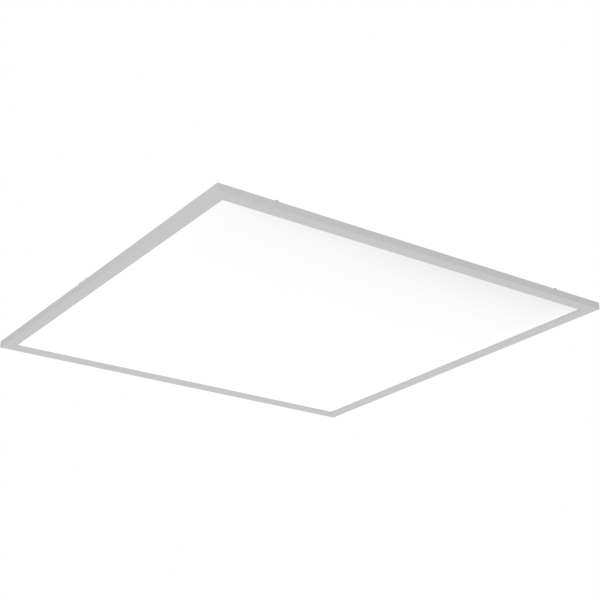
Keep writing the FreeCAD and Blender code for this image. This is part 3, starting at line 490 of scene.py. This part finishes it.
def grained(name, dark, light, grain_mm, rough, strength=0.1, ior=1.5, clear=0.0):
    material, tree, place = new_material(name)
    grain = add(tree, "ShaderNodeTexNoise", {"Vector": place, "Scale": per_metre(grain_mm), "Detail": 2.0})
    tints = {"Factor": grain, 6: linear(dark), 7: linear(light)}
    tint = add(tree, "ShaderNodeMix", tints, data_type="RGBA").outputs[2]
    depth = {"Height": grain, "Strength": strength, "Distance": GRAIN_DEPTH_MM * MM}
    bump = add(tree, "ShaderNodeBump", depth)
    looks = {"Base Color": tint, "Roughness": rough, "IOR": ior, "Normal": bump}
    looks.update({"Transmission Weight": clear})
    shader = add(tree, "ShaderNodeBsdfPrincipled", looks)
    add(tree, "ShaderNodeOutputMaterial", {"Surface": shader})
    return material


# Clear, with a sharp highlight.
acrylic = grained("polished acrylic sheet", "#eef2f1", "#f4f7f6", 5.0, 0.08, 0.02, 1.49, 0.6)
# The brightest white here, with a soft sheen.
film = grained("white PET reflector film", "#ececec", "#f2f2f2", 2.0, 0.35)
# Matt, with cut cells that make small shadows.
foam = grained("closed cell polyethylene foam, sliced", "#dadad7", "#e8e8e5", 1.5, 0.9, 0.6)
# A printed skin: even, slightly warm white.
mask = grained("white solder mask on aluminium, screen printed", "#e3e3e0", "#ebebe8", 1.0, 0.4)
# Dull grey, as it is filled with powder.
tape = grained("grey thermal tape, calendered", "#8b9097", "#9aa0a6", 1.0, 0.8)
# Deep yellow under a glassy skin.
phosphor = grained("yellow phosphor in silicone, cast", "#e2c04c", "#efd368", 0.5, 0.3, 0.1, 1.41)
# Black with hardly any highlight.
rubber = grained("black EPDM rubber, moulded", "#161616", "#222222", 0.8, 0.75, 0.3, 1.52)
# Dark green, with a smooth sheen from the lacquer.
laminate = grained("green glass-epoxy laminate, lacquered", "#0d4a24", "#12582c", 1.2, 0.35)
# Near black and stony.
ferrite = grained("ferrite, pressed and sintered", "#2b2b2c", "#383839", 0.6, 0.7, 0.3)
# Smooth blue-black, stretched tight.
sleeve = grained("shrink sleeve on capacitors", "#1c2230", "#242c3d", 2.0, 0.3)
# Milky white with a soft highlight.
nylon = grained("white nylon 66, moulded", "#deded9", "#e6e6e1", 1.0, 0.45, 0.15, 1.53)
# PVC wire is waxy: a clear colour with a broad highlight.
pvc_line = grained("black PVC insulation, extruded", "#1b1b1b", "#262626", 1.5, 0.5)
pvc_neutral = grained("white PVC insulation, extruded", "#dcdcda", "#e6e6e4", 1.5, 0.5)
pvc_ground = grained("green PVC insulation, extruded", "#126a2c", "#1a7a36", 1.5, 0.5)
print("clearest:", acrylic.name, "| softest:", rubber.name, "| brightest:", film.name)

# %% [markdown]
# ## Give the CAD nodes their finish
#
# Each CAD node keeps its shape and gets a material. A material could be picked for each of the 56 nodes
# by hand, but their names already say what they are. So a list of name beginnings is enough, and the
# longest one that fits wins.

# %% Finish of the CAD nodes
FINISHES = {
    "frame_rail": rail_coat, "corner_key": key_alloy, "corner_key_screws": screw_steel,
    "diffuser": opal, "light_guide": acrylic, "reflector_sheet": film, "foam_pad": foam,
    "led_board": mask, "thermal_tape": tape, "led_packages": phosphor, "led_lead": pvc_neutral,
    "back_cover": cover_zinc, "back_cover_screws": screw_steel,
    "clip_bracket": bracket_steel, "grid_clip": clip_steel, "clip_pins": pin_steel,
    "clip_screws": screw_steel, "tie_wire_bracket": bracket_steel, "tie_bracket_screws": screw_steel,
    "driver_housing": housing_coat, "driver_lid": housing_coat, "housing_rivets": rivet_alloy,
    "lid_screw": screw_steel, "lid_hinge_pin": pin_steel, "lead_grommets": rubber,
    "driver_base": driver_zinc, "driver_case": driver_zinc, "driver_circuit_board": laminate,
    "driver_transformer": ferrite, "driver_capacitors": sleeve, "driver_screws": screw_steel,
    "terminal_block": nylon, "terminal_screw": screw_steel, "ground_screw": screw_steel,
    "ground_ring": tinned, "ground_lead": pvc_ground, "line_lead": pvc_line, "neutral_lead": pvc_neutral,
}


def finish_of(node):
    return FINISHES[max((start for start in FINISHES if node.startswith(start)), key=len)]


for name, node in nodes.items():
    node.data.materials.clear()
    node.data.materials.append(finish_of(name))
print("finished", len(nodes), "CAD nodes with", len(set(FINISHES.values())), "materials")

# %% [markdown]
# ## Where the solids of a node are
#
# A CAD node can hold several equal solids, such as the twenty screws of the back cover. Their places
# could be typed in again, but then they would be wrong as soon as the CAD changes. They are read from
# the node instead. Its mesh is split along the sharp edges, so the split points are joined first. What
# hangs together after that is one solid, and its box says where the detailed piece has to go.

# %% Solids of a node
JOIN_MM = 0.001


def solids_of(node):
    """Boxes of the separate solids of a CAD node, by place: (lowest corner, highest corner) in mm."""
    shape = bmesh.new()
    shape.from_mesh(nodes[node].data)
    bmesh.ops.remove_doubles(shape, verts=shape.verts, dist=JOIN_MM * MM)
    waiting = set(shape.verts)
    boxes = []
    while waiting:
        reached = [waiting.pop()]
        points = []
        while reached:
            vertex = reached.pop()
            points.append(vertex.co / MM)
            beside = {edge.other_vert(vertex) for edge in vertex.link_edges} & waiting
            waiting -= beside
            reached += beside
        sides = list(zip(*points))
        boxes.append((Vector([min(side) for side in sides]), Vector([max(side) for side in sides])))
    shape.free()
    return sorted(boxes, key=lambda box: tuple(round(c, 2) for c in box[0]))


print("solids of the back cover's screws:", len(solids_of("back_cover_screws")))

# %% [markdown]
# ## Turned parts
#
# A screw head, a rivet and a grommet are all turned or upset round an axis. They could come from
# cylinders and spheres that are scaled and joined, but an outline gives their true profile. One
# function turns a list of (radius, height) points into a mesh. It takes millimetres, because that is
# how such parts are measured.

# %% Turning
SEGMENTS = 32
SHARP_DEGREES = 35


def turn_mesh(name, outline, segments=SEGMENTS, closed=False):
    """Mesh of an outline turned round Z. A closed one makes a ring, an open one ends on the axis."""
    mesh = bpy.data.meshes.new(name)
    shape = bmesh.new()
    angles = [2 * math.pi * k / segments for k in range(segments)]
    rings = []
    for radius, height in outline:
        around = angles if radius else angles[:1]
        points = [(radius * math.cos(a) * MM, radius * math.sin(a) * MM, height * MM) for a in around]
        rings.append([shape.verts.new(point) for point in points])
    pairs = list(zip(rings, rings[1:])) + ([(rings[-1], rings[0])] if closed else [])
    for low, high in pairs:
        for k in range(segments):
            corners = [low[k % len(low)], low[(k + 1) % len(low)]]
            corners += [high[(k + 1) % len(high)], high[k % len(high)]]
            shape.faces.new(list(dict.fromkeys(corners)))
    bmesh.ops.recalc_face_normals(shape, faces=shape.faces)
    shape.to_mesh(mesh)
    shape.free()
    return mesh


def smooth(mesh):
    """Shades a mesh as round, apart from its sharp edges."""
    mesh.polygons.foreach_set("use_smooth", [True] * len(mesh.polygons))
    mesh.set_sharp_from_angle(angle=math.radians(SHARP_DEGREES))


print("a 3 mm head is round to", round(3 * (1 - math.cos(math.pi / SEGMENTS)), 3), "mm")

# %% [markdown]
# ## Put a piece in the place of a CAD node
#
# A detailed piece takes over from the plain CAD one: it moves with the same body, has the same finish,
# and the plain one isn't shown. All three are looked up by the node's name.
# Equal pieces are copies of one mesh. No two screws stop at the same angle, so each copy is turned by
# a golden-angle step, which never comes round to the same angle. Random angles would do as well, but
# these stay the same in every run.

# %% Stand in for a node
GOLDEN_ANGLE = 137.508      # degrees
body_of = {node: body for body, group in record["behaviour"]["bodies"].items() for node in group}


def stand_in(name, data, node):
    """Shows this mesh or curve in the place of a CAD node."""
    data.materials.append(finish_of(node))
    piece = bpy.data.objects.new(name, data)
    bpy.context.scene.collection.objects.link(piece)
    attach(piece, body_of[node])
    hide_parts(node)


def copies(name, pattern, places, node):
    """One piece made of copies of a mesh, at (x, y, z, turn in degrees) places in millimetres."""
    shape = bmesh.new()
    for x, y, z, degrees in places:
        first = len(shape.verts)
        shape.from_mesh(pattern)
        shape.verts.ensure_lookup_table()
        turned = Matrix.Rotation(math.radians(degrees), 4, "Z")
        moved = Matrix.Translation(Vector((x, y, z)) * MM) @ turned
        bmesh.ops.transform(shape, matrix=moved, verts=shape.verts[first:])
    mesh = bpy.data.meshes.new(name)
    shape.to_mesh(mesh)
    shape.free()
    smooth(mesh)
    stand_in(name, mesh, node)
    print(name, len(places), "copies,", len(mesh.polygons), "faces")


def seats_of(node, head_height):
    """Seat of a head of this height on each solid of a node, each turned a step further."""
    places = []
    for i, (low, high) in enumerate(solids_of(node)):
        middle = (low + high) / 2
        places.append((middle.x, middle.y, high.z - head_height, i * GOLDEN_ANGLE))
    return places


# %% [markdown]
# ## Cross recess
#
# The recess of a screw head is struck with a four-armed punch that tapers to its point. It could be
# painted on as a dark cross, but then it would have no depth from the side. So the punch is a mesh of
# its own, and a boolean takes it out of the head, as the real one is struck. Its size goes with the
# head's.

# %% Cross recess
RECESS_REACH = 0.62         # of the head's radius
RECESS_DEPTH = 0.62         # of the head's height
RECESS_WIDTH_MM = 0.85
RECESS_POINT = 0.42         # size at the bottom, as a share of the size at the top
PUNCH_OVER_MM = 1.0         # how far the punch stands out above the head


def cross_punch(reach, width, depth, top):
    """Tapered four-armed punch in millimetres. Its point is this deep below the top."""
    mesh = bpy.data.meshes.new("punch")
    shape = bmesh.new()
    w, r = width / 2, reach
    outline = [(r, -w), (r, w), (w, w), (w, r), (-w, r), (-w, w)]
    outline += [(-x, -y) for x, y in outline]
    point = RECESS_POINT * MM
    high = [shape.verts.new((x * MM, y * MM, (top + PUNCH_OVER_MM) * MM)) for x, y in outline]
    low = [shape.verts.new((x * point, y * point, (top - depth) * MM)) for x, y in outline]
    for k in range(len(outline)):
        shape.faces.new((high[k - 1], high[k], low[k], low[k - 1]))
    shape.faces.new(high)
    shape.faces.new(low[::-1])
    bmesh.ops.recalc_face_normals(shape, faces=shape.faces)
    shape.to_mesh(mesh)
    shape.free()
    return mesh


def struck(head_mesh, punch_mesh):
    """The head with the punch taken out of it."""
    head = bpy.data.objects.new("head", head_mesh)
    punch = bpy.data.objects.new("punch", punch_mesh)
    for part in (head, punch):
        bpy.context.scene.collection.objects.link(part)
    cut = head.modifiers.new("recess", "BOOLEAN")
    cut.object = punch
    cut.operation = "DIFFERENCE"
    cut.solver = "EXACT"
    finished = head.evaluated_get(bpy.context.evaluated_depsgraph_get())
    result = bpy.data.meshes.new_from_object(finished)
    for part in (head, punch):
        bpy.data.objects.remove(part)
    return result


print("recess of a 2.6 mm head reaches", round(2.6 * RECESS_REACH, 2), "mm from its middle")

# %% [markdown]
# ## Screws
#
# All are pan heads: a short rim, then a dome. Each head could be modelled on its seat, but a factory
# makes them alike, so one is made for each size and copied. The CAD node gives the seats and the
# shank's length, and the table gives the rest.

# %% Screws
DOME_ANGLES = (0.0, 0.35, 0.7, 1.05, 1.3)     # radians up the dome
SHANK_TIP_MM = 0.5
SHANK_TIP_RADIUS = 0.7      # of the shank's radius
SEAT_BEVEL_MM = 0.12
SEAT_RADIUS = 0.94          # of the head's radius
PAN_HEADS = (
    # piece, CAD node, then in mm: radius and height of the head, height of its rim, radius of the shank
    ("cover_screws", "back_cover_screws", 2.6, 1.2, 0.35, 1.15),
    ("grid_clip_screws", "clip_screws", 2.8, 2.2, 0.9, 1.15),
    ("tie_wire_screws", "tie_bracket_screws", 2.6, 1.2, 0.35, 1.15),
    ("lid_captive_screw", "lid_screw", 3.4, 2.2, 0.8, 1.15),
    ("driver_foot_screws", "driver_screws", 2.6, 1.6, 0.4, 1.4),
    ("terminal_block_screw", "terminal_screw", 2.6, 1.6, 0.4, 1.4),
    ("ground_ring_screw", "ground_screw", 2.6, 1.6, 0.4, 1.4),
)


def pan_head_screw(head, height, rim, shank, length):
    """Screw with its seat at z = 0, in millimetres."""
    tip = [(0, -length), (shank * SHANK_TIP_RADIUS, -length), (shank, SHANK_TIP_MM - length), (shank, 0)]
    seat = [(head * SEAT_RADIUS, 0), (head, SEAT_BEVEL_MM)]
    dome = [(head * math.cos(a), rim + (height - rim) * math.sin(a)) for a in DOME_ANGLES]
    plain = turn_mesh("screw", tip + seat + dome + [(0, height)])
    punch = cross_punch(head * RECESS_REACH, RECESS_WIDTH_MM, height * RECESS_DEPTH, height)
    return struck(plain, punch)


for piece, node, head, height, rim, shank in PAN_HEADS:
    seats = seats_of(node, height)
    length = seats[0][2] - solids_of(node)[0][0].z
    copies(piece, pan_head_screw(head, height, rim, shank, length), seats, node)

# %% [markdown]
# ## Rivets and grommets
#
# A blind rivet's head keeps a small pit where its mandrel broke off. A grommet is a soft moulded ring
# with a rounded flange, and its neck goes through the housing's floor and the back cover. Both could
# have been left as the flat rings of the CAD, but the pit and the rounding are what one knows them by.
# They are turned like the screws, with z = 0 at the housing's floor.

# %% Rivets and grommets
RIVET_HEAD_MM = 1.0
GROMMET_FLANGE_MM = 1.5
THROUGH_MM = 1.3            # back cover and housing floor together
rivet_shank = [(0, -THROUGH_MM), (1.5, -THROUGH_MM), (1.5, 0)]
rivet_head = [(2.9, 0), (3.0, 0.15), (2.7, 0.5), (2.1, 0.82), (1.4, RIVET_HEAD_MM)]
rivet_pit = [(1.0, RIVET_HEAD_MM), (0.85, 0.6), (0, 0.55)]
rivet = turn_mesh("rivet", rivet_shank + rivet_head + rivet_pit)
copies("blind_rivets", rivet, seats_of("housing_rivets", RIVET_HEAD_MM), "housing_rivets")

neck = [(3.4, -THROUGH_MM), (4.4, -THROUGH_MM), (4.4, 0)]
flange = [(6.2, 0), (6.4, 0.25), (6.3, 0.65), (5.8, 1.0), (4.9, 1.3), (4.1, 1.48), (3.7, 1.45), (3.45, 1.25)]
grommet = turn_mesh("grommet", neck + flange, closed=True)
copies("rubber_grommets", grommet, seats_of("lead_grommets", GROMMET_FLANGE_MM), "lead_grommets")

# %% [markdown]
# ## Hinge pins
#
# The pins are plain ground rod, cut to length, with the ends broken so that they slide in. A cylinder
# with a bevel would do, but the turning function is already there and gives the ends their real size.
# A pin lies along X, and its length and place are those of its CAD solid.

# %% Hinge pins
PIN_RADIUS_MM = 0.99
PIN_END_RADIUS = 0.8        # of the pin's radius
BROKEN_END_MM = 0.3
PIN_SEGMENTS = 24
PINS = {
    # piece: CAD node
    "clip_hinge_pins": "clip_pins",
    "lid_pin_left": "lid_hinge_pin_left",
    "lid_pin_right": "lid_hinge_pin_right",
}


def pin_mesh(radius, length):
    """Rod along X with broken ends, in millimetres."""
    reach = length / 2
    near_end = [(0, -reach), (radius * PIN_END_RADIUS, -reach), (radius, BROKEN_END_MM - reach)]
    far_end = [(r, -height) for r, height in reversed(near_end)]
    mesh = turn_mesh("pin", near_end + far_end, PIN_SEGMENTS)
    mesh.transform(Matrix.Rotation(math.radians(90), 4, "Y"))
    return mesh


for piece, node in PINS.items():
    boxes = solids_of(node)
    length = boxes[0][1].x - boxes[0][0].x
    middles = [(low + high) / 2 for low, high in boxes]
    copies(piece, pin_mesh(PIN_RADIUS_MM, length), [(*middle, 0) for middle in middles], node)

# %% [markdown]
# ## Mains leads
#
# Single-core PVC wire holds the bends it is given. It could be a tube swept along straight runs with
# elbows, as in the CAD, but real wire bends in easy curves. So each lead is a NURBS curve that is drawn
# toward the corners of its route, with a round bevel of the wire's radius. Line and neutral run from
# the terminal block into the end of the driver and down onto its circuit board. The ground lead drops
# to the ring terminal.

# %% Mains leads
WIRE_RADIUS_MM = 1.1
BEVEL_STEPS = 5
CURVE_STEPS = 10
TERMINAL_Z = 16.3           # mm, where the leads leave the terminal block
STRAIGHT_MM = 8.0           # their first stretch
CREST_X = 70.0              # where line and neutral have risen to their highest
CREST_Z = 19.8
DRIVER_X = 58.0             # where they go down onto the circuit board
GROUND_Z = 11.6             # in the barrel of the ring terminal
GROUND_BEND_YS = (14.0, 20.0)


def lead(name, route, node):
    """Round wire along a route in millimetres."""
    data = bpy.data.curves.new(name, "CURVE")
    data.dimensions = "3D"
    data.bevel_depth = WIRE_RADIUS_MM * MM
    data.bevel_resolution = BEVEL_STEPS
    data.resolution_u = CURVE_STEPS
    data.use_fill_caps = True
    spline = data.splines.new("NURBS")
    spline.points.add(len(route) - 1)
    for point, place in zip(spline.points, route):
        point.co = [c * MM for c in place] + [1.0]
    spline.order_u = 3
    spline.use_endpoint_u = True
    stand_in(name, data, node)
    print(name, round(sum(math.dist(a, b) for a, b in zip(route, route[1:])), 1), "mm along its corners")


def driver_route(node, block_y, driver_y):
    """From the terminal block into the driver. The ends are those of the CAD lead."""
    low, high = solids_of(node)[0]
    block_end = [(high.x, block_y, TERMINAL_Z), (high.x - STRAIGHT_MM, block_y, TERMINAL_Z)]
    crest = [(CREST_X, driver_y, CREST_Z), (DRIVER_X, driver_y, CREST_Z)]
    return block_end + crest + [(DRIVER_X, driver_y, low.z)]


def ground_route(node, block_y):
    """From the terminal block down to the ring terminal, whose middle gives x."""
    high = solids_of(node)[0][1]
    ring_low, ring_high = solids_of("ground_ring")[0]
    x = (ring_low.x + ring_high.x) / 2
    down = [(x, y, GROUND_Z) for y in (*GROUND_BEND_YS, high.y)]
    return [(high.x, block_y, TERMINAL_Z), (x, block_y, TERMINAL_Z)] + down


lead("line_wire", driver_route("line_lead", -6.0, -4.4), "line_lead")
lead("neutral_wire", driver_route("neutral_lead", 0.0, -1.6), "neutral_lead")
lead("ground_wire", ground_route("ground_lead", 6.0), "ground_lead")
